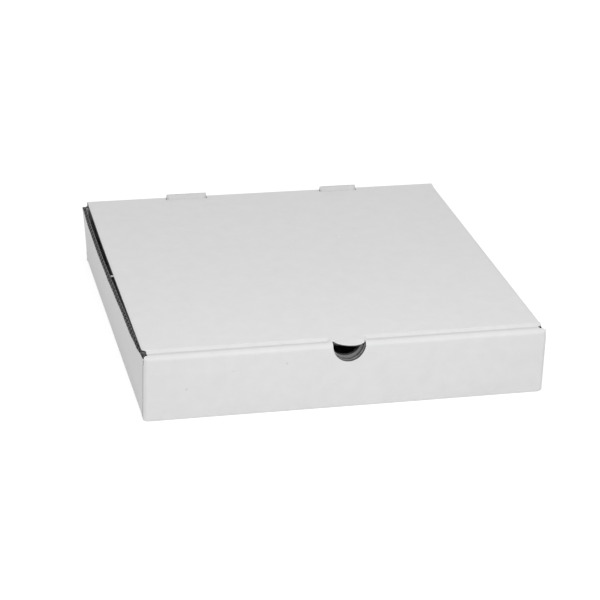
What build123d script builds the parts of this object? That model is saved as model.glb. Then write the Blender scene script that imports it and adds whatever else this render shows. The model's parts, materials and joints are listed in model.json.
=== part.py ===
"""Pizza box: one scored and folded sheet of corrugated board, closed.

Frame: millimetres, origin at the centre of the underside, +Z up, front towards -Y.
The sheet is split at its two moving scores into tray, lid and front flap.
"""
import os

from build123d import *

# The box, over its outer faces
width = 305.0
depth = 305.0
height = 52.0

# The sheet, and the play between layers that lie on each other
board = 3.0
layer_gap = 0.3
lid_gap = 0.5
flap_gap = 0.8
half_board = board / 2
half_width = width / 2
half_depth = depth / 2

# Both moving scores run along X in the middle of the board
score_z = height - half_board
rear_score_y = half_depth - half_board
front_score_y = half_board - half_depth
score_reach = half_board + layer_gap

# Layers of the front, from the outside inwards
front_wall_out = board + flap_gap - half_depth
front_wall_in = front_wall_out + board
front_corner_out = front_wall_in + layer_gap
front_corner_in = front_corner_out + board
inner_front_out = front_corner_in + layer_gap
inner_front_in = inner_front_out + board

# Layers of the rear, from the outside inwards
rear_wall_in = half_depth - board
rear_corner_out = rear_wall_in - layer_gap
rear_corner_in = rear_corner_out - board

# Side walls and the panels that end against them
side_wall_in = half_width - board
wall_top = height - board - lid_gap
roll_low = wall_top - board
end_gap = 0.3
panel_end = half_width - end_gap
inner_panel_end = side_wall_in - end_gap
corner_bottom = board + lid_gap
front_corner_length = 100.0
rear_corner_length = 108.0
corner_rounding = 8.0

# Lid: a little narrower than the walls, and cut away beside the ends of its front score
lid_inset = 0.8
lid_half_width = half_width - lid_inset
lid_front = front_score_y + score_reach
lid_rear = rear_score_y - score_reach
relief_width = 3.0
relief_length = 5.8

# Front flap
flap_bottom = 0.2
flap_corner = 2.5
flap_foot_corner = 2.0

# Thumb tab of the lid, and the hole under it in the flap and in the front wall's layers behind it
thumb_gap = 0.6
tab_half_width = 11.8
tab_reach = 6.6
hole_half_width = tab_half_width + thumb_gap
hole_reach = 13.5

# Lock tabs of the rear corner flaps, which stand up through notches in the lid.
# Their front is rounded about the score, so the lid swings past them with the same play.
lock_x = 67.0
lock_base_width = 35.0
lock_tip_width = 32.0
lock_rise = 3.1
lock_top = height + lock_rise
lock_radius = 5.4
lock_notch_half_width = lock_base_width / 2 + thumb_gap

# Lock tabs of the inner front panel, in slots through the floor
floor_lock_x = 70.0
floor_lock_width = 32.0
floor_lock_bottom = 0.4
floor_slot_gap = 0.5

# How far a cutting tool runs past what it cuts
overrun = 1.0
quarter_turn = 90


def block(x, y, z):
    """A box from its three (low, high) ranges."""
    sides = [high - low for low, high in (x, y, z)]
    middle = [(high + low) / 2 for low, high in (x, y, z)]
    return Pos(*middle) * Box(*sides)


def rod_x(radius, x, y, z):
    """A round bar along X over the range x, through (y, z)."""
    low, high = x
    return Pos((low + high) / 2, y, z) * Rot(0, quarter_turn, 0) * Cylinder(radius, high - low)


def rod_y(radius, x, y, z):
    """A round bar along Y over the range y, through (x, z)."""
    low, high = y
    return Pos(x, (low + high) / 2, z) * Rot(quarter_turn, 0, 0) * Cylinder(radius, high - low)


def rod_z(radius, x, y, z):
    """A round bar along Z over the range z, through (x, y)."""
    low, high = z
    return Pos(x, y, (low + high) / 2) * Cylinder(radius, high - low)


def slab_xz(outline, y):
    """A closed outline of (x, z) points, extruded along Y over the range y."""
    low, high = y
    face = make_face(Polyline(*[(px, low, pz) for px, pz in outline], close=True))
    return extrude(face, amount=high - low, dir=(0, 1, 0))


def half_moon(half_breadth, reach, y):
    """Half an ellipse in XZ that hangs from the lid's score level, extruded along Y."""
    low, high = y
    plane = Plane(origin=(0, low, score_z), x_dir=(1, 0, 0), z_dir=(0, 1, 0))
    whole = extrude(plane * Ellipse(half_breadth, reach), amount=high - low)
    return whole & block((-width, width), (low - overrun, high + overrun), (0, score_z))


def floor():
    """Floor with its four folds; the slots take the lock tabs of the inner front panel."""
    length = (front_corner_in, rear_corner_in)
    across = (-side_wall_in, side_wall_in)
    panel = block(across, (front_wall_in, rear_wall_in), (0, board))
    left_fold = rod_y(board, -side_wall_in, length, board)
    panel += left_fold & block((-half_width, -side_wall_in), length, (0, board))
    right_fold = rod_y(board, side_wall_in, length, board)
    panel += right_fold & block((side_wall_in, half_width), length, (0, board))
    front_fold = rod_x(board, across, front_wall_in, board)
    panel += front_fold & block(across, (front_wall_out, front_wall_in), (0, board))
    rear_fold = rod_x(board, across, rear_wall_in, board)
    panel += rear_fold & block(across, (rear_wall_in, half_depth), (0, board))
    reach = floor_lock_width / 2 + floor_slot_gap
    for x in (-floor_lock_x, floor_lock_x):
        panel -= block((x - reach, x + reach),
                       (inner_front_out - floor_slot_gap, inner_front_in + floor_slot_gap),
                       (-overrun, board + overrun))
    return panel


def lock_tab():
    """Lock tab of the right rear corner flap, with a crushed tip."""
    base, tip = lock_base_width / 2, lock_tip_width / 2
    outline = [(lock_x - base, wall_top - overrun), (lock_x + base, wall_top - overrun),
               (lock_x + tip, lock_top), (lock_x - tip, lock_top)]
    tab = slab_xz(outline, (rear_corner_in, rear_corner_out))
    swing = rod_x(lock_radius, (0, width), rear_score_y, score_z)
    return tab & (swing + block((0, width), (rear_corner_in, rear_corner_out), (0, score_z)))


def right_side():
    """Right side wall with its front and rear corner flaps, all in one strip of board."""
    front_end, rear_end = half_width - front_corner_length, half_width - rear_corner_length
    wall = block((side_wall_in, half_width), (front_corner_in, rear_corner_in), (board, wall_top))
    front = block((front_end, side_wall_in), (front_corner_out, front_corner_in),
                  (corner_bottom, roll_low - layer_gap))
    front_tip = front.edges().filter_by(Axis.Y).group_by(Axis.X)[0]
    front = fillet(front_tip, corner_rounding)
    rear = block((rear_end, side_wall_in), (rear_corner_in, rear_corner_out), (corner_bottom, wall_top))
    rear_tip = rear.edges().filter_by(Axis.Y).group_by(Axis.X)[0].sort_by(Axis.Z)[0]
    rear = fillet(rear_tip, corner_rounding)
    upright = (corner_bottom, wall_top)
    front_fold = rod_z(board, side_wall_in, front_corner_in, upright)
    front_fold &= block((side_wall_in, half_width), (front_corner_out, front_corner_in), upright)
    rear_fold = rod_z(board, side_wall_in, rear_corner_in, upright)
    rear_fold &= block((side_wall_in, half_width), (rear_corner_in, rear_corner_out), upright)
    return wall + front + front_fold + rear + rear_fold + lock_tab()


def rolled_front():
    """Front wall that rolls over the front corner flaps and locks into the floor."""
    across = (-inner_panel_end, inner_panel_end)
    wall = block((-panel_end, panel_end), (front_wall_out, front_wall_in), (board, roll_low))
    strip = block(across, (front_wall_in, inner_front_out), (roll_low, wall_top))
    outer_fold = rod_x(board, across, front_wall_in, roll_low)
    outer_fold &= block(across, (front_wall_out, front_wall_in), (roll_low, wall_top))
    inner_fold = rod_x(board, across, inner_front_out, roll_low)
    inner_fold &= block(across, (inner_front_out, inner_front_in), (roll_low, wall_top))
    inner = block(across, (inner_front_out, inner_front_in), (board + layer_gap, roll_low))
    for x in (-floor_lock_x, floor_lock_x):
        inner += block((x - floor_lock_width / 2, x + floor_lock_width / 2),
                       (inner_front_out, inner_front_in), (floor_lock_bottom, roll_low))
    front = wall + outer_fold + strip + inner_fold + inner
    through = (front_wall_out - overrun, inner_front_in + overrun)
    return front - half_moon(hole_half_width, hole_reach, through)


def rear_wall():
    """Rear wall, rounded about the lid's score along its top."""
    wall = block((-panel_end, panel_end), (rear_wall_in, half_depth), (board, score_z))
    shoulders = wall.edges().filter_by(Axis.Y).group_by(Axis.Z)[-1]
    wall = fillet(shoulders, panel_end - lid_half_width)
    return wall + rod_x(half_board, (-lid_half_width, lid_half_width), rear_score_y, score_z)


def tray():
    """Everything but the lid and its flap, as one folded solid."""
    side = right_side()
    return floor() + rear_wall() + rolled_front() + side + mirror(side, about=Plane.YZ)


def lid():
    """Top panel with the thumb tab and two reliefs at the front and two lock notches at the rear."""
    level = (height - board, height)
    panel = block((-lid_half_width, lid_half_width), (lid_front, lid_rear), level)
    plane = Plane(origin=(0, lid_front, height - board))
    panel += extrude(plane * Ellipse(tab_half_width, tab_reach), amount=board)
    relief_start = lid_half_width - relief_width
    for reach in ((relief_start, width), (-width, -relief_start)):
        panel -= block(reach, (-depth, lid_front + relief_length), (0, height + overrun))
    for x in (-lock_x, lock_x):
        reach = (x - lock_notch_half_width, x + lock_notch_half_width)
        panel -= rod_x(lock_radius + layer_gap, reach, rear_score_y, score_z)
    return panel


def front_flap():
    """Panel outside the front wall, rounded about the lid's front score along its top."""
    face = (-half_depth, board - half_depth)
    panel = block((-half_width, half_width), face, (flap_bottom, score_z))
    panel += rod_x(half_board, (-half_width, half_width), front_score_y, score_z)
    blank = block((-half_width, half_width), face, (flap_bottom, height))
    ends = blank.edges().filter_by(Axis.Y).group_by(Axis.Z)
    blank = fillet(ends[-1], flap_corner)
    feet = blank.edges().filter_by(Axis.Y).group_by(Axis.Z)[0]
    panel &= fillet(feet, flap_foot_corner)
    through = (face[0] - overrun, face[1] + overrun)
    panel -= half_moon(hole_half_width, hole_reach, through)
    return panel - block((-hole_half_width, hole_half_width), through, (score_z, height + overrun))


os.makedirs("parts", exist_ok=True)
for node, shape in (("tray", tray()), ("lid", lid()), ("front_flap", front_flap())):
    export_step(shape, f"parts/{node}.step")
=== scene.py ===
"""Looks of the pizza box: folded corrugated board with real liners and flutes.

Lengths are in millimetres up to the point where a mesh is made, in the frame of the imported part:
origin at the centre of the underside, +Z up, front towards -Y.
"""
import json
import math

import bmesh
import bpy
from mathutils import Matrix, Vector
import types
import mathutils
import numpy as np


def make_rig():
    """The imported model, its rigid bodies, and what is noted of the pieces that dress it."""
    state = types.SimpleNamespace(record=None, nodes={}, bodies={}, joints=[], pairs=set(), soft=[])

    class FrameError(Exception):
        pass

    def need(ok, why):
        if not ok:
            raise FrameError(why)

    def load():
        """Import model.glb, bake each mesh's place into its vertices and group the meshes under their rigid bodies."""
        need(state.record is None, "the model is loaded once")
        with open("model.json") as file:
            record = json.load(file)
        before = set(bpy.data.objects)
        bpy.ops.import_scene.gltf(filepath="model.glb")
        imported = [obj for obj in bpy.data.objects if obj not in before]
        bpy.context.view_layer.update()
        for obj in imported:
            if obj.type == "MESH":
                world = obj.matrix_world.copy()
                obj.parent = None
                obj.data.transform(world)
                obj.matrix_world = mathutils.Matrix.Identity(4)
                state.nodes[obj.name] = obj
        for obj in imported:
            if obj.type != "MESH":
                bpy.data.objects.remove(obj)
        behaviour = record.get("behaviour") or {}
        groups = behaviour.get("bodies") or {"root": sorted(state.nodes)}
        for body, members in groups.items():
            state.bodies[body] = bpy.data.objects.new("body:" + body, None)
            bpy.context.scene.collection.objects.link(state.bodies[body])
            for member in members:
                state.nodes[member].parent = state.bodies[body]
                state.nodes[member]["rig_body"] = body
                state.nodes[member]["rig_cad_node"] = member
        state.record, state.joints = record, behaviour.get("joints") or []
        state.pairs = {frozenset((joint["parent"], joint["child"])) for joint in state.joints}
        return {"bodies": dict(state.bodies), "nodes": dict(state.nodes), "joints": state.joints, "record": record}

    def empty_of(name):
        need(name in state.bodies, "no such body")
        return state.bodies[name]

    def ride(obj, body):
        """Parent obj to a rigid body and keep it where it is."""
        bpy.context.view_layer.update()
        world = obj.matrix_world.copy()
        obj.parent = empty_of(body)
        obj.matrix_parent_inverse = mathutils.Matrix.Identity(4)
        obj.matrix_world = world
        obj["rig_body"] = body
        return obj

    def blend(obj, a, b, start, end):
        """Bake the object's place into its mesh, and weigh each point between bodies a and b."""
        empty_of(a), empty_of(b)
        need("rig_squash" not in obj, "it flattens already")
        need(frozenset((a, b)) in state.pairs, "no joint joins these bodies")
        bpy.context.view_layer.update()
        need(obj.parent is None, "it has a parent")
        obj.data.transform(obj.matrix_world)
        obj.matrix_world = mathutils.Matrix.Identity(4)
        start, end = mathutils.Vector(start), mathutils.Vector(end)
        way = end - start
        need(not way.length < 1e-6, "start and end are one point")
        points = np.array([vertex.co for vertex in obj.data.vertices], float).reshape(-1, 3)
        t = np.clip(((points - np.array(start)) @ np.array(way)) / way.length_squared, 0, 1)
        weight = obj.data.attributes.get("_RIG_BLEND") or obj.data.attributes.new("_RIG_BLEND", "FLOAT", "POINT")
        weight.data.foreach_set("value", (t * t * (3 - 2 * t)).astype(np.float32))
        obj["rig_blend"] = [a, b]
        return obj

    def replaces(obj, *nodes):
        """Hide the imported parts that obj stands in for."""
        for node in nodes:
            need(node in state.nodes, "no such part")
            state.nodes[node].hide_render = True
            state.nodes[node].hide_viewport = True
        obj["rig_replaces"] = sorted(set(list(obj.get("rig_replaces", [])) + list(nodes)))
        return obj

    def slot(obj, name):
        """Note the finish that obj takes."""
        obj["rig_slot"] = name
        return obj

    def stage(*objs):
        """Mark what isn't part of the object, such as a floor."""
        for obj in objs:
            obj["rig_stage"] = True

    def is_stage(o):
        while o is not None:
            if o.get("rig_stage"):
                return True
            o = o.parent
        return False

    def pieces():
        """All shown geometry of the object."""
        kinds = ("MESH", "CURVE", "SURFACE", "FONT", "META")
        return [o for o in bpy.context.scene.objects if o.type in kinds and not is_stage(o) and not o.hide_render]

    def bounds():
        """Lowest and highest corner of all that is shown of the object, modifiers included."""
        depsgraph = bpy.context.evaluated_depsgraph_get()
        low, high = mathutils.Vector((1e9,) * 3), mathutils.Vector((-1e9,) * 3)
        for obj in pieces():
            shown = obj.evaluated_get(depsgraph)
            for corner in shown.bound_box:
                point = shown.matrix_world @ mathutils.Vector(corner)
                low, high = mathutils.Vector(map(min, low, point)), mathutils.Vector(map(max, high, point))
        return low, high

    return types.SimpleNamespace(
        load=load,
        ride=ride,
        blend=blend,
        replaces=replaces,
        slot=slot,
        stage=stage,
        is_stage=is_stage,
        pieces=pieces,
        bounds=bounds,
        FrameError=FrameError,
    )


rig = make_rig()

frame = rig.load()
cad_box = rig.bounds()

MM = 0.001

# The box over its outer faces, and its two moving scores in the middle of the board
HALF = 152.5
HEIGHT = 52.0
BOARD = 3.0
UNDERSIDE = HEIGHT - BOARD  # of the lid
WALL_IN = HALF - BOARD
SCORE_Y = 151.0
SCORE_Z = 50.5

# The sheet: two liners, and a wavy medium that stays just clear of them
LINER = 0.3
MEDIUM = 0.24
MEDIUM_GAP = 0.02
PITCH = 6.4
WAVE = BOARD / 2 - LINER - MEDIUM / 2 - MEDIUM_GAP

# How finely the sheet is cut
STEPS_PER_WAVE = 10
STEP = PITCH / STEPS_PER_WAVE
FINE_STEP = 0.25  # beside a moving score
ROUND_STEP = 0.2  # round a small corner
BEND_STEPS = 14
FOLD_STEPS = 12
ENDS = (0.0, 1.0)  # across a layer that is plain from end to end
SHARP_ANGLE = 35  # degrees between two faces from which their edge shows

# How near a place counts as being on a face, and how near two samples count as one
NEAR = 0.1
SAME = 1e-6

# Fixed folds
FOLD_OUT = 1.6  # radius of the outer face
FOLD_IN = 0.4  # radius of the inner face
FOLD = BOARD + FOLD_IN  # how far from its corner a fold ends
FOLD_LOFT = 0.25  # what is left of the wave

# Cut edges, which the die has crushed
CRUSH_REACH = 2.2  # how far in from the edge
LID_CRUSH = 0.3  # share of the board's thickness
LID_CRUSH_FADE = 4.0  # length over which it fades towards the two scores
FLAP_CRUSH = 0.55
RIM = (0.0, 0.4, 0.8, 1.3, 1.8, 2.4)  # cuts beside an edge

# Layers of the front: the wall, the corner flaps behind it and the inner panel that it rolls into
FRONT_WALL = -149.1
FRONT_WALL_END = 151.5
FRONT_CORNER = -145.4
INNER_FRONT = -139.1
INNER_FRONT_BOTTOM = 3.3
ROLL_END = 149.2

# Lock tabs of the inner front panel and their slots in the floor
FLOOR_LOCK_X = 70.0
FLOOR_LOCK_HALF = 16.0
FLOOR_LOCK_BOTTOM = 0.4
FLOOR_SLOT_HALF = 16.5
FLOOR_SLOT = (-142.6, -138.6)

# Layers of the rear: the wall, with rounded shoulders, and the corner flaps in front of it
REAR_WALL_END = 152.2
REAR_WALL_TOP = 48.0
REAR_SHOULDER = 1.0
REAR_CORNER = 149.2

# Side walls, whose tops dip at the front, and their corner flaps
WALL_TOP = 48.5
WALL_DIP = 1.2
WALL_DIP_LENGTH = 8.0
CORNER_FOOT = 0.3  # bottom of the fold between wall and flap
CORNER_BOTTOM = 3.5
CORNER_ROUND = 8.0
FRONT_CORNER_TOP = 45.2
FRONT_CORNER_TIP = 52.5
REAR_CORNER_TIP = 44.5
WALL_STEPS = (0, 0.12, 0.25, 0.4, 0.55, 0.7, 0.82, 0.88, 0.91, 0.923, 0.931, 0.94, 0.955, 0.97,
              0.985, 1)  # cuts up the strip, closest together where a lock tab passes the lid

# How far the tops of the left and right walls bow outwards at each Y
LEFT_BOW = [(-146.0, 0.0), (-127.0, 1.9), (-100.0, 2.9), (-73.0, 3.1), (-33.0, 3.9), (0.0, 4.6),
            (50.0, 5.0), (100.0, 4.7), (150.0, 3.6)]
RIGHT_BOW = [(0.0, 0.0)]
BOW_POWER = 1.4  # of the height, with which the bow grows
BOW_REACH = 45.0  # into the corner flaps

# Rear lock tabs on the left and right: distance from the middle, and half the width
LOCKS = {-1: (67.0, 17.3), 1: (65.7, 16.0)}
LOCK_TOP = 55.6
LOCK_SIDE = 0.3  # how far a side leans
LOCK_SWELL = 0.2  # share by which a tab is thicker than the board
LOCK_RADIUS = 5.55  # of its front, about the score
LOCK_END = 2.0  # how far in from its sides it is crushed
LOCK_END_CRUSH = 0.85  # share of its thickness
LOCK_END_RISE = 0.4  # height over which that sets in, up to the lid's top

# The lid's notches for them
NOTCH_GAP = 0.1
NOTCH_RADIUS = 5.6  # about the score
NOTCH_Y = SCORE_Y - NOTCH_RADIUS
NOTCH_HOLLOW = 1.0  # length over which their front edge is hollow
NOTCH_OVERLAP = 1.0  # of the rear score behind the tabs

# Lid: its cut edges, and where its board meets the two scores
LID_LEFT = -152.0
LID_LEFT_REAR = -151.2
LID_TAPER_START = 40.0  # where the left edge starts to run inwards
LID_TAPER_LENGTH = 110.0
LID_RIGHT = 151.4
LID_WIDTH = LID_RIGHT - LID_LEFT
LID_FRONT = -148.0
LID_REAR = 147.6

# Cut-outs beside the front score: how far they reach in X, and to which Y
LEFT_RELIEF = (2.8, -140.3)
RIGHT_RELIEF = (2.7, -141.7)
RELIEF_EASE = 1.2  # length of the curve at their rear end

# The two moving scores
FRONT_BEND = (4.0, 4.0)  # radii in Y and Z
FRONT_BEND_Y = FRONT_BEND[0] - HALF
FRONT_BEND_Z = HEIGHT - FRONT_BEND[1]
FRONT_WIDEN = 2.5  # length over which the outer liner gets as wide as the flap
REAR_RADIUS = 1.4
REAR_BEND_Y = HALF - REAR_RADIUS
REAR_BEND_Z = HEIGHT - REAR_RADIUS

# Groove that is pressed into the lid along the front score, with a steep rear side
PRESS_REAR = -140.7
PRESS_FOOT = -142.4
PRESS_DEPTH = 2.1  # at its foot
PRESS_BEND_DEPTH = 0.85
PRESS_FADE = 3.5  # length over which it fades in beside the thumb hole
PRESS_STEPS = 8  # cuts across that length

# Nick that the die left uncut at the lid's left edge
NICK = (-3.8, -2.0)  # its ends in Y
NICK_REACH = 2.4
NICK_OVERLAP = 0.1
NICK_DEPTH = 1.0
NICK_THICK = 2 * LINER

# Front flap, a little narrower at its top, with rounded feet
FLAP_BACK = -WALL_IN
FLAP_BOTTOM = 0.1
FLAP_FOOT = 1.4
FLAP_END = 152.8
FLAP_TOP_END = 152.3
FLAP_TAPER_START = 43.5
FLAP_TAPER_LENGTH = 6.0

# Thumb tab of the lid
TAB_HALF = 12.2
TAB_REACH = 7.8
TAB_CRUSH = 0.84  # share of its thickness that is lost at its edge
TAB_CORE = 0.1  # share of its size that keeps its thickness
TAB_DROOP = 0.5
TAB_TWIST = 0.85
TAB_TWIST_FADE = 0.3  # share of its reach over which the twist sets in
TAB_STEPS = 24  # cuts across it
TAB_TIP_GAP = 0.01  # the last cut stays this far behind the tip, where the width is zero
TAB_TIP_LENGTH = 1.5  # where it is round, so it is finely cut
TAB_TIP_STEP = 0.06

# Thumb hole under the tab, finely cut where it is round
HOLE_HALF = 12.4
HOLE_REACH = 13.5
HOLE_LOW = SCORE_Z - HOLE_REACH
HOLE_STEP = 0.5
HOLE_ROUND = 1.5
HOLE_ROUND_STEP = 0.15

# Material slots of every piece
COAT, INSIDE, EDGE, FLUTE = range(4)

# Paper: the part of the noise's range that the tones spread over, and the depth of its fibres
MOTTLE = (0.3, 0.7)
FIBRE_DEPTH = 0.0001  # metres

# Marks on the coat: place, axes along which the mark ends, radius and grey. They are six specks and
# a painted shade line along the foot of the pressed groove by the front score.
ROUND, ALONG_X = (1, 1, 1), (0, 1, 1)
# Radii of a speck and of the painted shade line
SPECK, CREASE_SHADE = 1.2, 2.6
SPECKS_AND_SHADE = [((-121.3, -152.5, 23.9), ROUND, SPECK, 0.61), ((-46.7, -152.5, 39.1), ROUND, SPECK, 0.61),
          ((-87.0, -152.5, 36.0), ROUND, SPECK, 0.67), ((41.5, 45.8, 52.0), ROUND, SPECK, 0.84),
          ((55.0, 45.3, 52.0), ROUND, SPECK, 0.84), ((121.9, -49.7, 52.0), ROUND, SPECK, 0.78),
          # painted shade: a darker line where shade falls in the pressed groove
          ((0.0, -145.6, 49.6), ALONG_X, CREASE_SHADE, 0.63)]
SPECK_AND_SHADE_CORE = 0.3  # share of the radius within which a mark has its full grey

# Stage: half its width in metres, the grey that bounces light onto the box, and for the camera the
# grey that takes the shadow and the glow that makes it white
STAGE_REACH = 8.0
STAGE_BOUNCE = 0.8
STAGE_SHADE = 0.3
STAGE_GLOW = 0.8

# Camera: the photograph's width in pixels, and the sensor's
PHOTO_WIDTH = 600
SENSOR_WIDTH = 36.0


# ---------------------------------------------------------------- curves

def smooth(t):
    """Smoothstep of t, held to 0..1."""
    t = min(1.0, max(0.0, t))
    return t * t * (3 - 2 * t)


def ramp(value, reach):
    """0 below zero, 1 from reach on, straight between."""
    return min(1.0, max(0.0, value / reach))


def along(table, place):
    """Value at a place on a curve through the table's (place, value) points, eased between them."""
    for (p0, v0), (p1, v1) in zip(table, table[1:]):
        if place <= p1:
            return v0 + (v1 - v0) * smooth((place - p0) / (p1 - p0))
    return table[-1][1]


def quarter(gap, radius):
    """How far the edge stands back at this way into a rounded corner of this radius."""
    gap = min(max(gap, 0.0), radius)
    return radius - math.sqrt(radius * radius - gap * gap)


def crushed(value, base, gap, share):
    """A height over base that is lower by a share near a cut edge, which lies gap away."""
    return base + (value - base) * (1 - share * (1 - smooth(gap / CRUSH_REACH)))


def near_ends(length, gaps):
    """Cuts across a span of about this length that crowd at both ends, at these gaps from them."""
    return [gap / length for gap in gaps] + [1 - gap / length for gap in reversed(gaps)]


# ---------------------------------------------------------------- paths
# A path runs along the sheet's outer face. A sample is (a, b, na, nb, loft): the point, the way
# into the board for each millimetre of depth, and how much of the wave is left there. A chain puts
# the length run so far before each sample.

def straight(start, end, normal, step=STEP):
    """Samples of a flat stretch."""
    (a0, b0), (a1, b1) = start, end
    count = max(1, round(math.dist(start, end) / step))
    return [(a0 + (a1 - a0) * i / count, b0 + (b1 - b0) * i / count, *normal, 1.0)
            for i in range(count + 1)]


def bend(centre, radii, first, last):
    """Samples of a bend on an ellipse about its centre; angles in degrees."""
    samples = []
    for i in range(BEND_STEPS + 1):
        angle = math.radians(first + (last - first) * i / BEND_STEPS)
        c, s = math.cos(angle), math.sin(angle)
        inward = Vector((-c * radii[1], -s * radii[0])).normalized()
        samples.append((centre[0] + radii[0] * c, centre[1] + radii[1] * s, *inward, FOLD_LOFT))
    return samples


def fold(corner, first, last):
    """Samples of a sharp fold at its outer corner, from a face that looks to the angle first to one
    that looks to last, in degrees. The inner face turns on its own, smaller radius."""
    corner = Vector(corner)
    one, two = (Vector((math.cos(angle), math.sin(angle)))
                for angle in map(math.radians, (first, last)))
    flat, arc = FOLD - FOLD_OUT, FOLD_OUT * math.pi / 2
    samples = []
    for i in range(FOLD_STEPS + 1):
        run = (2 * flat + arc) * i / FOLD_STEPS
        turn = ramp(run - flat, arc) * math.pi / 2
        outer = corner + one * FOLD_OUT * (math.cos(turn) - 1)
        outer += two * FOLD_OUT * (math.sin(turn) - 1)
        outer -= two * max(0.0, flat - run) + one * max(0.0, run - flat - arc)
        turn = i / FOLD_STEPS * math.pi / 2
        inner = corner + one * (FOLD_IN * math.cos(turn) - FOLD)
        inner += two * (FOLD_IN * math.sin(turn) - FOLD)
        samples.append((*outer, *((inner - outer) / BOARD), FOLD_LOFT))
    return samples


def chain(stretches):
    """Joins stretches end to end and adds the run to each sample."""
    path, run = [], 0.0
    for stretch in stretches:
        for sample in stretch:
            if path:
                gap = math.dist(path[-1][1:3], sample[:2])
                if gap < SAME:
                    continue
                run += gap
            path.append((run, *sample))
    return path


def fixed(first, last):
    """A span across the path that is the same all along it."""
    return lambda a, b: (first, last)


def yz(a, b, c):
    """Places a path drawn in YZ and spread along X."""
    return (c, a, b)


def xz(a, b, c):
    """Places a path drawn in XZ and spread along Y."""
    return (a, c, b)


# ---------------------------------------------------------------- paper layers

def even(low, high):
    """Depths of a liner's two faces."""
    return lambda run, loft: (low, high)


def flute(run, loft):
    """Depths of the wavy medium's two faces."""
    turn = 2 * math.pi * run / PITCH
    slope = WAVE * loft * 2 * math.pi / PITCH * math.cos(turn)
    middle = BOARD / 2 + WAVE * loft * math.sin(turn)
    half = MEDIUM / 2 * math.sqrt(1 + slope * slope)
    return middle - half, middle + half


class Sheet:
    """Collects the paper layers of one piece, each a closed skin."""

    def __init__(self):
        self.points, self.faces, self.marks = [], [], []

    def layer(self, path, depths, span, place, steps, marks):
        """One layer between two depths, across the path over span, cut at steps. The marks are the
        material slots of its outer face, its inner face and its edges."""
        base, count = len(self.points), len(steps)
        for run, a, b, na, nb, loft in path:
            first, last = span(a, b)
            for depth in depths(run, loft):
                for t in steps:
                    c = first + (last - first) * t
                    self.points.append(place(a + na * depth, b + nb * depth, c))

        def at(i, side, j):
            return base + (i * 2 + side) * count + j

        def add(corners, mark):
            self.faces.append(corners)
            self.marks.append(mark)

        end = len(path) - 1
        for i in range(end):
            for j in range(count - 1):
                for side in (0, 1):
                    add((at(i, side, j), at(i + 1, side, j), at(i + 1, side, j + 1),
                         at(i, side, j + 1)), marks[side])
            for j in (0, count - 1):
                add((at(i, 0, j), at(i + 1, 0, j), at(i + 1, 1, j), at(i, 1, j)), marks[2])
        for i in (0, end):
            for j in range(count - 1):
                add((at(i, 0, j), at(i, 0, j + 1), at(i, 1, j + 1), at(i, 1, j)), marks[2])

    def board(self, stretches, span, place=yz, steps=ENDS):
        """Two liners and the wavy medium between them."""
        path = chain(stretches)
        self.layer(path, even(0.0, LINER), span, place, steps, (COAT, FLUTE, EDGE))
        self.layer(path, even(BOARD - LINER, BOARD), span, place, steps, (FLUTE, INSIDE, EDGE))
        self.layer(path, flute, span, place, steps, (FLUTE, FLUTE, EDGE))

    def finish(self, name, body=None):
        """Makes the object, in metres, with its normals facing outwards."""
        mesh = bpy.data.meshes.new(name)
        mesh.from_pydata([[c * MM for c in p] for p in self.points], [], self.faces)
        mesh.polygons.foreach_set("material_index", self.marks)
        for material in MATERIALS:
            mesh.materials.append(material)
        work = bmesh.new()
        work.from_mesh(mesh)
        bmesh.ops.recalc_face_normals(work, faces=work.faces)
        work.to_mesh(mesh)
        work.free()
        mesh.shade_smooth()
        mesh.set_sharp_from_angle(angle=math.radians(SHARP_ANGLE))
        piece = bpy.data.objects.new(name, mesh)
        bpy.context.scene.collection.objects.link(piece)
        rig.slot(piece, "board")
        if body:
            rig.ride(piece, body)
        return piece


# ---------------------------------------------------------------- materials

def node(tree, kind, values=None, **settings):
    """A shader node with its settings and the values of its input sockets."""
    made = tree.nodes.new(kind)
    for name, value in settings.items():
        setattr(made, name, value)
    for socket, value in (values or {}).items():
        made.inputs[socket].default_value = value
    return made


def grey(level):
    """An opaque grey."""
    return (level, level, level, 1)


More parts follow.
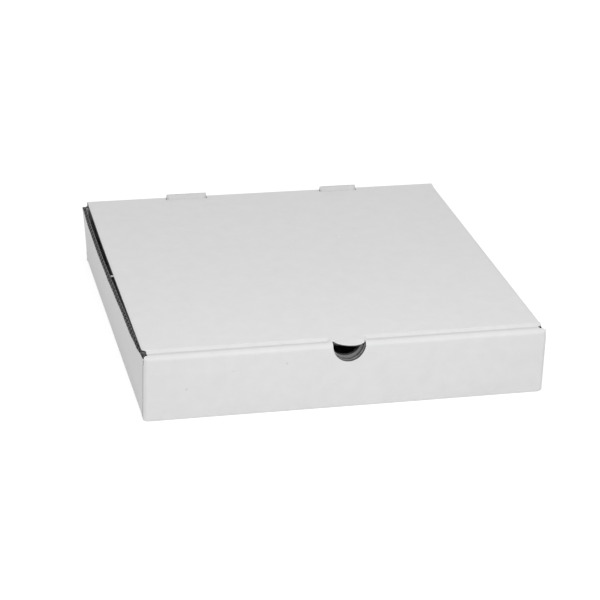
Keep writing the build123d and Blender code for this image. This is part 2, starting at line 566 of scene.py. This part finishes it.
def paper(name, tones, rough, gloss, fibre, grain, specks_and_shade=()):
    """Paper with mottled colour, fibre bump, uneven roughness, a few small spots and painted shade lines.

    The tones are its darkest and lightest grey, rough its lowest and highest roughness, gloss its
    specular level, fibre the strength of the bump, and grain the scales of mottle and fibres."""
    material = bpy.data.materials.new(name)
    material.use_nodes = True
    tree = material.node_tree
    link = tree.links.new
    shader = tree.nodes["Principled BSDF"]
    shader.inputs["Specular IOR Level"].default_value = gloss
    place = node(tree, "ShaderNodeTexCoord").outputs["Object"]

    cloud = node(tree, "ShaderNodeTexNoise", {"Scale": grain[0], "Detail": 6.0, "Roughness": 0.62})
    link(place, cloud.inputs["Vector"])
    tint = node(tree, "ShaderNodeValToRGB")
    for stop, position, level in zip(tint.color_ramp.elements, MOTTLE, tones):
        stop.position = position
        stop.color = grey(level)
    link(cloud.outputs["Fac"], tint.inputs["Fac"])
    colour = tint.outputs["Color"]
    # Spots and painted shade lines, each mixing its grey into the colour within its radius
    for centre, axes, radius, level in specks_and_shade:
        flat = node(tree, "ShaderNodeVectorMath", {1: axes}, operation="MULTIPLY")
        away = node(tree, "ShaderNodeVectorMath", {1: [c * MM for c in centre]},
                    operation="DISTANCE")
        spot = node(tree, "ShaderNodeMapRange",
                    {"From Min": radius * MM, "From Max": SPECK_AND_SHADE_CORE * radius * MM})
        mix = node(tree, "ShaderNodeMix", {"B": grey(level)}, data_type="RGBA")
        link(place, flat.inputs[0])
        link(flat.outputs["Vector"], away.inputs[0])
        link(away.outputs["Value"], spot.inputs["Value"])
        link(spot.outputs["Result"], mix.inputs["Factor"])
        link(colour, mix.inputs["A"])
        colour = mix.outputs["Result"]
    link(colour, shader.inputs["Base Color"])

    sheen = node(tree, "ShaderNodeMapRange", {"From Min": MOTTLE[0], "From Max": MOTTLE[1],
                                              "To Min": rough[0], "To Max": rough[1]})
    link(cloud.outputs["Fac"], sheen.inputs["Value"])
    link(sheen.outputs["Result"], shader.inputs["Roughness"])

    fibres = node(tree, "ShaderNodeTexNoise", {"Scale": grain[1], "Detail": 4.0, "Roughness": 0.6})
    link(place, fibres.inputs["Vector"])
    bump = node(tree, "ShaderNodeBump", {"Strength": fibre, "Distance": FIBRE_DEPTH})
    link(fibres.outputs["Fac"], bump.inputs["Height"])
    link(bump.outputs["Normal"], shader.inputs["Normal"])
    return material


# In the order of the slots
MATERIALS = [
    paper("white_coat", tones=(0.705, 0.735), rough=(0.55, 0.7), gloss=0.2, fibre=0.25,
          grain=(90.0, 1500.0), specks_and_shade=SPECKS_AND_SHADE),
    paper("inside_liner", tones=(0.62, 0.68), rough=(0.75, 0.9), gloss=0.1, fibre=0.5,
          grain=(160.0, 1200.0)),
    paper("cut_edge", tones=(0.27, 0.4), rough=(0.85, 0.95), gloss=0.05, fibre=0.6,
          grain=(700.0, 3000.0)),
    # fluting: the kraft medium's own darker tone, set darker still as painted shade for the open cells of cut edges,
    # as in the thumb hole
    paper("fluting", tones=(0.12, 0.17), rough=(0.85, 0.95), gloss=0.05, fibre=0.5,
          grain=(300.0, 1600.0)),
]


# ---------------------------------------------------------------- tray

def floor_piece():
    """Floor with its four folds and the two slots at the front."""
    sheet = Sheet()
    side, up = HALF - FOLD, (0, 1)
    slot_front, slot_rear = FLOOR_SLOT
    near, far = FLOOR_LOCK_X - FLOOR_SLOT_HALF, FLOOR_LOCK_X + FLOOR_SLOT_HALF
    sheet.board([fold((FRONT_WALL, 0), 180, 270),
                 straight((FRONT_WALL + FOLD, 0), (slot_front, 0), up)], fixed(-side, side))
    for span in ((-side, -far), (-near, near), (far, side)):
        sheet.board([straight((slot_front, 0), (slot_rear, 0), up)], fixed(*span))
    sheet.board([straight((slot_rear, 0), (HALF - FOLD, 0), up), fold((HALF, 0), 270, 360)],
                fixed(-side, side))
    ends = fixed(FRONT_CORNER + FOLD, REAR_CORNER - FOLD)
    sheet.board([fold((HALF, 0), 270, 360)], ends, xz)
    sheet.board([fold((-HALF, 0), 270, 180)], ends, xz)
    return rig.replaces(sheet.finish("tray_floor", "tray"), "tray")


def hole_half(z):
    """Half width of the thumb hole at a height."""
    drop = (SCORE_Z - z) / HOLE_REACH
    return HOLE_HALF * math.sqrt(max(0.0, 1 - drop * drop))


def beside_hole(face, normal, top):
    """The stretch of a front layer beside the thumb hole, finely cut where the hole is round."""
    return (straight((face, HOLE_LOW), (face, HOLE_LOW + HOLE_ROUND), normal, HOLE_ROUND_STEP)
            + straight((face, HOLE_LOW + HOLE_ROUND), (face, top), normal, HOLE_STEP))


def front_piece():
    """Front wall, rolled over the front corner flaps and down to the floor."""
    sheet = Sheet()
    roll = WALL_TOP - FOLD
    into, back = (1, 0), (-1, 0)
    rolled = [beside_hole(FRONT_WALL, into, roll),
              fold((FRONT_WALL, WALL_TOP), 180, 90),
              straight((FRONT_WALL + FOLD, WALL_TOP), (INNER_FRONT - FOLD, WALL_TOP), (0, -1)),
              fold((INNER_FRONT, WALL_TOP), 90, 0),
              beside_hole(INNER_FRONT, back, roll)[::-1]]

    def end(y, z):
        on_wall = y < FRONT_WALL + NEAR and z < roll + NEAR
        return FRONT_WALL_END if on_wall else ROLL_END

    sheet.board([straight((FRONT_WALL, FOLD), (FRONT_WALL, HOLE_LOW), into)],
                fixed(-FRONT_WALL_END, FRONT_WALL_END))
    sheet.board(rolled, lambda y, z: (-end(y, z), -hole_half(z)))
    sheet.board(rolled, lambda y, z: (hole_half(z), end(y, z)))
    sheet.board([straight((INNER_FRONT, HOLE_LOW), (INNER_FRONT, INNER_FRONT_BOTTOM), back)],
                fixed(-ROLL_END, ROLL_END))
    lock = straight((INNER_FRONT, INNER_FRONT_BOTTOM), (INNER_FRONT, FLOOR_LOCK_BOTTOM), back)
    for x in (-FLOOR_LOCK_X, FLOOR_LOCK_X):
        sheet.board([lock], fixed(x - FLOOR_LOCK_HALF, x + FLOOR_LOCK_HALF))
    return sheet.finish("tray_front", "tray")


def rear_piece():
    """Rear wall, up to the lid's score."""
    sheet = Sheet()
    shoulder = REAR_WALL_TOP - REAR_SHOULDER
    into = (-1, 0)

    def across(y, z):
        end = REAR_WALL_END - quarter(z - shoulder, REAR_SHOULDER)
        return -end, end

    sheet.board([straight((HALF, FOLD), (HALF, shoulder), into),
                 straight((HALF, shoulder), (HALF, REAR_WALL_TOP), into, ROUND_STEP)], across)
    return sheet.finish("tray_rear", "tray")


def side_piece(name, sign, bow):
    """Side wall with its two corner flaps and the rear lock tab, in one strip of board. It is drawn
    for the right side, and a sign of -1 puts it on the left."""
    sheet = Sheet()
    inner = HALF - FOLD
    lock_x, lock_half = LOCKS[sign]
    tip = lock_half - LOCK_SIDE
    rear_places = [inner, lock_x + lock_half, lock_x + tip, lock_x - tip, lock_x - lock_half,
                   REAR_CORNER_TIP]
    strip = [straight((FRONT_CORNER_TIP, FRONT_CORNER), (inner, FRONT_CORNER), (0, 1)),
             fold((HALF, FRONT_CORNER), -90, 0),
             straight((HALF, FRONT_CORNER + FOLD), (HALF, REAR_CORNER - FOLD), (-1, 0)),
             fold((HALF, REAR_CORNER), 0, 90)]
    strip += [straight((first, REAR_CORNER), (last, REAR_CORNER), (0, -1))
              for first, last in zip(rear_places, rear_places[1:])]

    def upright(x, y):
        """Bottom and top of the strip at a place on it."""
        if x > inner + NEAR:
            on_wall = FRONT_CORNER + FOLD - NEAR < y < REAR_CORNER - FOLD + NEAR
            dip = WALL_DIP * (1 - smooth((y - FRONT_CORNER) / WALL_DIP_LENGTH))
            return FOLD if on_wall else CORNER_FOOT, WALL_TOP - dip
        if y < 0:
            back = quarter(CORNER_ROUND - (x - FRONT_CORNER_TIP), CORNER_ROUND)
            return CORNER_BOTTOM + back, FRONT_CORNER_TOP - back
        back = quarter(CORNER_ROUND - (x - REAR_CORNER_TIP), CORNER_ROUND)
        rise = (LOCK_TOP - WALL_TOP) * ramp(lock_half - abs(x - lock_x), LOCK_SIDE)
        return CORNER_BOTTOM + back, WALL_TOP + rise

    def thickness(x, z):
        """Share of the board's thickness that the lock tab has at a place on it."""
        swollen = 1 + LOCK_SWELL * smooth((z - WALL_TOP) / BOARD)
        rise = max(0.0, z - SCORE_Z)
        front = SCORE_Y - math.sqrt(max(0.0, LOCK_RADIUS ** 2 - rise ** 2))
        crush = 1 - ramp(lock_half - abs(x - lock_x), LOCK_END)
        crush *= LOCK_END_CRUSH * ramp(z - HEIGHT + LOCK_END_RISE, LOCK_END_RISE)
        return min(swollen, (REAR_CORNER - front) / BOARD) * (1 - crush)

    def stand(x, y, z):
        """Places the strip, bowed outwards, with the lock tab in its shape."""
        if z > WALL_TOP and y > REAR_CORNER - BOARD - NEAR:
            y = REAR_CORNER - (REAR_CORNER - y) * thickness(x, z)
        hold = max(0.0, 1 - (HALF - x) / BOW_REACH) ** 2 if x < WALL_IN else 1.0
        out = along(bow, y) * hold * (max(0.0, z) / WALL_TOP) ** BOW_POWER
        return (sign * (x + out), y, z)

    sheet.board(strip, upright, stand, WALL_STEPS)
    return sheet.finish(name, "tray")


# ---------------------------------------------------------------- lid and flap

def lid_edge(y, z):
    """The lid's left and right cut edges, which stand back beside the front score."""
    left, right = (reach * smooth((end - y) / RELIEF_EASE)
                   for reach, end in (LEFT_RELIEF, RIGHT_RELIEF))
    taper = (LID_LEFT_REAR - LID_LEFT) * smooth((y - LID_TAPER_START) / LID_TAPER_LENGTH)
    return LID_LEFT + taper + left, LID_RIGHT - right


def pressed(y, z, x):
    """Height of the lid, whose top is pressed down along the front score beside the thumb tab."""
    beside = smooth((abs(x) - HOLE_HALF) / PRESS_FADE)
    rear = smooth((PRESS_REAR - y) / (PRESS_REAR - PRESS_FOOT))
    front = ramp(y - FRONT_BEND_Y, PRESS_FOOT - FRONT_BEND_Y)
    depth = PRESS_BEND_DEPTH + (PRESS_DEPTH - PRESS_BEND_DEPTH) * front
    return z - depth * rear * beside * ramp(z - UNDERSIDE, BOARD)


def lid_place(y, z, x):
    """Places the lid: crushed at its cut edges, pressed at its front, hollow at its notches."""
    left, right = lid_edge(y, z)
    fade = smooth((y - PRESS_REAR) / LID_CRUSH_FADE) * smooth((LID_REAR - y) / LID_CRUSH_FADE)
    z = pressed(y, crushed(z, UNDERSIDE, min(x - left, right - x), LID_CRUSH * fade), x)
    hollow = ramp(NOTCH_HOLLOW - abs(y - NOTCH_Y), NOTCH_HOLLOW)
    return (x, y + quarter(abs(z - SCORE_Z), NOTCH_RADIUS) * hollow, z)


def between_locks(gap):
    """Stretches of the lid's rear edge beside its notches, which leave this gap to the tabs."""
    (left, left_half), (right, right_half) = LOCKS[-1], LOCKS[1]
    return ((LID_LEFT_REAR, -left - left_half - gap),
            (left_half + gap - left, right - right_half - gap),
            (right + right_half + gap, LID_RIGHT))


def add_nick(sheet):
    """The nick at the lid's left edge, a scrap of liner."""
    level = HEIGHT - NICK_DEPTH
    path = chain([straight((NICK[0], level), (NICK[1], level), (0, -1), FINE_STEP)])
    span = fixed(LID_LEFT - NICK_REACH, LID_LEFT + NICK_OVERLAP)
    sheet.layer(path, even(0.0, NICK_THICK), span, yz, ENDS, (INSIDE, FLUTE, EDGE))


def add_tab(sheet):
    """The half-moon thumb tab at the lid's front, which is thin at its edge, droops and twists."""
    def moon(y, z):
        half = TAB_HALF * math.sqrt(max(0.0, 1 - ((LID_FRONT - y) / TAB_REACH) ** 2))
        return -half, half

    def lift(y, z, x):
        out = (LID_FRONT - y) / TAB_REACH
        edge = ramp(math.hypot(x / TAB_HALF, out) - TAB_CORE, 1 - TAB_CORE)
        sway = TAB_DROOP * out ** 2 + TAB_TWIST * x / TAB_HALF * smooth(out / TAB_TWIST_FADE)
        return (x, y, HEIGHT - (HEIGHT - z) * (1 - TAB_CRUSH * edge) - sway)

    down = (0, -1)
    tip = LID_FRONT - TAB_REACH + TAB_TIP_GAP
    neck = tip + TAB_TIP_LENGTH
    sheet.board([straight((LID_FRONT, HEIGHT), (neck, HEIGHT), down, FINE_STEP),
                 straight((neck, HEIGHT), (tip, HEIGHT), down, TAB_TIP_STEP)],
                moon, lift, [i / TAB_STEPS for i in range(TAB_STEPS + 1)])


def lid_piece():
    """Top panel with two notches at its rear edge and the thumb tab at the front."""
    sheet = Sheet()
    top, down = HEIGHT, (0, -1)
    rims = near_ends(LID_WIDTH, RIM)
    fades = [0.5 + sign * (HOLE_HALF + PRESS_FADE * i / PRESS_STEPS) / LID_WIDTH
             for sign in (-1, 1) for i in range(-1, PRESS_STEPS + 2)]
    sheet.board([straight((LID_FRONT, top), (PRESS_REAR, top), down, FINE_STEP)],
                lid_edge, lid_place, sorted(rims + fades))
    sheet.board([straight((PRESS_REAR, top), (NOTCH_Y, top), down)], lid_edge, lid_place, rims)
    for first, last in between_locks(NOTCH_GAP):
        sheet.board([straight((NOTCH_Y, top), (LID_REAR, top), down, FINE_STEP)],
                    fixed(first, last), lid_place, near_ends(last - first, RIM))
    add_nick(sheet)
    add_tab(sheet)
    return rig.replaces(sheet.finish("lid_panel", "lid"), "lid")


def flap_end(z):
    """Where the front flap ends to the left and right, at a height."""
    foot = quarter(FLAP_BOTTOM + FLAP_FOOT - z, FLAP_FOOT)
    taper = (FLAP_END - FLAP_TOP_END) * smooth((z - FLAP_TAPER_START) / FLAP_TAPER_LENGTH)
    return FLAP_END - foot - taper


def flap_place(y, z, x):
    """Places the flap, whose face is crushed back at its left and right ends."""
    return (x, crushed(y, FLAP_BACK, flap_end(z) - abs(x), FLAP_CRUSH), z)


def flap_piece():
    """Panel outside the front wall, with the thumb hole at its top edge."""
    sheet = Sheet()
    into = (1, 0)
    foot = FLAP_BOTTOM + FLAP_FOOT
    lower = [straight((-HALF, FLAP_BOTTOM), (-HALF, foot), into, ROUND_STEP),
             straight((-HALF, foot), (-HALF, HOLE_LOW), into)]
    upper = [beside_hole(-HALF, into, FRONT_BEND_Z)]
    rims = near_ends(2 * HALF, RIM)
    sheet.board(lower, lambda y, z: (-flap_end(z), flap_end(z)), flap_place, rims)
    rims = near_ends(HALF - HOLE_HALF, RIM)
    sheet.board(upper, lambda y, z: (-flap_end(z), -hole_half(z)), flap_place, rims)
    sheet.board(upper, lambda y, z: (hole_half(z), flap_end(z)), flap_place, rims)
    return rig.replaces(sheet.finish("flap_panel", "front_flap"), "front_flap")


# ---------------------------------------------------------------- moving scores

def score_piece(name, stretches, marks, spans, place, steps, bodies):
    """A liner that bends across a moving score, from one body to the other."""
    sheet = Sheet()
    path = chain(stretches)
    for span in spans:
        sheet.layer(path, even(0.0, LINER), span, place, steps, marks)
    start, end = ((0.0, sample[1] * MM, sample[2] * MM) for sample in (path[0], path[-1]))
    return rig.blend(sheet.finish(name), *bodies, start=start, end=end)


def front_scores():
    """Outer and inner liner across the front score, on both sides of the thumb tab."""
    left, right = lid_edge(LID_FRONT, HEIGHT)
    bodies = ("lid", "front_flap")
    fades = [PRESS_FADE * i / PRESS_STEPS for i in range(PRESS_STEPS + 2)]
    steps = near_ends(HALF - HOLE_HALF, fades)

    def spread(y):
        return math.sqrt(ramp(LID_FRONT - y, FRONT_WIDEN))

    def left_part(y, z):
        return left - (FLAP_TOP_END + left) * spread(y), -HOLE_HALF

    def right_part(y, z):
        return HOLE_HALF, right + (FLAP_TOP_END - right) * spread(y)

    def place(y, z, x):
        share = FLAP_CRUSH * smooth((HEIGHT - z) / FRONT_BEND[1])
        return (x, crushed(y, FLAP_BACK, flap_end(z) - abs(x), share), pressed(y, z, x))

    outer = [straight((LID_FRONT, HEIGHT), (FRONT_BEND_Y, HEIGHT), (0, -1), FINE_STEP),
             bend((FRONT_BEND_Y, FRONT_BEND_Z), FRONT_BEND, 90, 180)]
    spans = (left_part, right_part)
    score_piece("front_score_outer", outer, (COAT, FLUTE, EDGE), spans, place, steps, bodies)
    inner = [straight((LID_FRONT, UNDERSIDE), (FLAP_BACK, UNDERSIDE), (0, 1), FINE_STEP),
             straight((FLAP_BACK, UNDERSIDE), (FLAP_BACK, FRONT_BEND_Z), (-1, 0), FINE_STEP)]
    spans = (fixed(left, -HOLE_HALF), fixed(HOLE_HALF, right))
    score_piece("front_score_inner", inner, (INSIDE, FLUTE, EDGE), spans, yz, steps, bodies)


def rear_scores():
    """Outer and inner liner across the rear score, beside the lock notches and behind the tabs."""
    bodies = ("tray", "lid")

    def stretch(part):
        def span(y, z):
            return between_locks(-NOTCH_OVERLAP if y > REAR_CORNER + NEAR else NOTCH_GAP)[part]
        return span

    spans = [stretch(part) for part in range(3)]
    outer = [straight((HALF, REAR_WALL_TOP), (HALF, REAR_BEND_Z), (-1, 0), FINE_STEP),
             bend((REAR_BEND_Y, REAR_BEND_Z), (REAR_RADIUS, REAR_RADIUS), 0, 90),
             straight((REAR_BEND_Y, HEIGHT), (LID_REAR, HEIGHT), (0, -1), FINE_STEP)]
    score_piece("rear_score_outer", outer, (COAT, FLUTE, EDGE), spans, yz, ENDS, bodies)
    inner = [straight((WALL_IN, REAR_WALL_TOP), (WALL_IN, UNDERSIDE), (1, 0), FINE_STEP),
             straight((WALL_IN, UNDERSIDE), (LID_REAR, UNDERSIDE), (0, 1), FINE_STEP)]
    score_piece("rear_score_inner", inner, (INSIDE, FLUTE, EDGE), spans, yz, ENDS, bodies)


# ---------------------------------------------------------------- stage, light and camera

def white_to_camera(tree):
    """1 for camera, glossy and transmission rays, 0 for the light that falls on the box."""
    rays = node(tree, "ShaderNodeLightPath")
    first = node(tree, "ShaderNodeMath", operation="MAXIMUM")
    second = node(tree, "ShaderNodeMath", operation="MAXIMUM")
    tree.links.new(rays.outputs["Is Camera Ray"], first.inputs[0])
    tree.links.new(rays.outputs["Is Glossy Ray"], first.inputs[1])
    tree.links.new(first.outputs[0], second.inputs[0])
    tree.links.new(rays.outputs["Is Transmission Ray"], second.inputs[1])
    return second.outputs[0]


def stage():
    """White floor that keeps the box's shadow."""
    low, high = -STAGE_REACH, STAGE_REACH
    mesh = bpy.data.meshes.new("floor")
    mesh.from_pydata([(low, low, 0), (high, low, 0), (high, high, 0), (low, high, 0)],
                     [], [(0, 1, 2, 3)])
    material = bpy.data.materials.new("floor")
    material.use_nodes = True
    tree = material.node_tree
    tree.nodes.clear()
    bounce = node(tree, "ShaderNodeBsdfDiffuse", {"Color": grey(STAGE_BOUNCE)})
    shade = node(tree, "ShaderNodeBsdfDiffuse", {"Color": grey(STAGE_SHADE)})
    glow = node(tree, "ShaderNodeEmission", {"Strength": STAGE_GLOW})
    seen = node(tree, "ShaderNodeAddShader")
    mix = node(tree, "ShaderNodeMixShader")
    out = node(tree, "ShaderNodeOutputMaterial")
    tree.links.new(shade.outputs[0], seen.inputs[0])
    tree.links.new(glow.outputs[0], seen.inputs[1])
    tree.links.new(white_to_camera(tree), mix.inputs[0])
    tree.links.new(bounce.outputs[0], mix.inputs[1])
    tree.links.new(seen.outputs[0], mix.inputs[2])
    tree.links.new(mix.outputs[0], out.inputs["Surface"])
    mesh.materials.append(material)
    floor = bpy.data.objects.new("floor", mesh)
    bpy.context.scene.collection.objects.link(floor)
    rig.stage(floor)


def world(strength):
    """Even light from all round, with a white background."""
    made = bpy.data.worlds.new("studio")
    bpy.context.scene.world = made
    made.use_nodes = True
    tree = made.node_tree
    tree.nodes.clear()
    light = node(tree, "ShaderNodeBackground", {"Color": grey(1), "Strength": strength})
    white = node(tree, "ShaderNodeBackground", {"Color": grey(1), "Strength": 1.0})
    mix = node(tree, "ShaderNodeMixShader")
    out = node(tree, "ShaderNodeOutputWorld")
    tree.links.new(white_to_camera(tree), mix.inputs[0])
    tree.links.new(light.outputs[0], mix.inputs[1])
    tree.links.new(white.outputs[0], mix.inputs[2])
    tree.links.new(mix.outputs[0], out.inputs["Surface"])


def softbox(name, place, target, size, power):
    """Area lamp at place, facing target, in metres and watts."""
    lamp = bpy.data.lights.new(name, "AREA")
    lamp.shape = "DISK"
    lamp.size = size
    lamp.energy = power
    holder = bpy.data.objects.new(name, lamp)
    holder.location = place
    holder.rotation_euler = (Vector(target) - Vector(place)).to_track_quat("-Z", "Y").to_euler()
    bpy.context.scene.collection.objects.link(holder)


def camera(azimuth, elevation, roll, distance, focal, target):
    """Camera fitted to the photograph; angles in degrees, focal length in pixels."""
    az, el, turn = (math.radians(v) for v in (azimuth, elevation, roll))
    back = Vector((math.sin(az) * math.cos(el), -math.cos(az) * math.cos(el), math.sin(el)))
    right = Vector((math.cos(az), math.sin(az), 0))
    up = back.cross(right)
    across = right * math.cos(turn) + up * math.sin(turn)
    upward = up * math.cos(turn) - right * math.sin(turn)
    data = bpy.data.cameras.new("camera")
    data.sensor_width = SENSOR_WIDTH
    data.lens = focal / PHOTO_WIDTH * SENSOR_WIDTH
    holder = bpy.data.objects.new("camera", data)
    turned = Matrix((across, upward, back)).transposed().to_4x4()
    holder.matrix_world = Matrix.Translation((Vector(target) + back * distance) * MM) @ turned
    bpy.context.scene.collection.objects.link(holder)
    bpy.context.scene.camera = holder


floor_piece()
front_piece()
rear_piece()
side_piece("tray_left", -1, LEFT_BOW)
side_piece("tray_right", 1, RIGHT_BOW)
lid_piece()
flap_piece()
front_scores()
rear_scores()

stage()
world(strength=0.72)
softbox("key", place=(-0.02, -0.74, 0.74), target=(0, -0.05, 0.03), size=0.5, power=3.4)
softbox("fill", place=(-0.95, 0.0, 0.3), target=(-0.15, 0.0, 0.03), size=0.5, power=0.2)
camera(azimuth=-13.978, elevation=24.320, roll=2.089, distance=1676.6, focal=2110.4,
       target=(-5.02, -16.35, 26.0))
bpy.context.scene.view_settings.view_transform = "Standard"

with open("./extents.json", "w") as file:
    json.dump({"cad": [list(corner) for corner in cad_box],
               "visual": [list(corner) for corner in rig.bounds()]}, file)
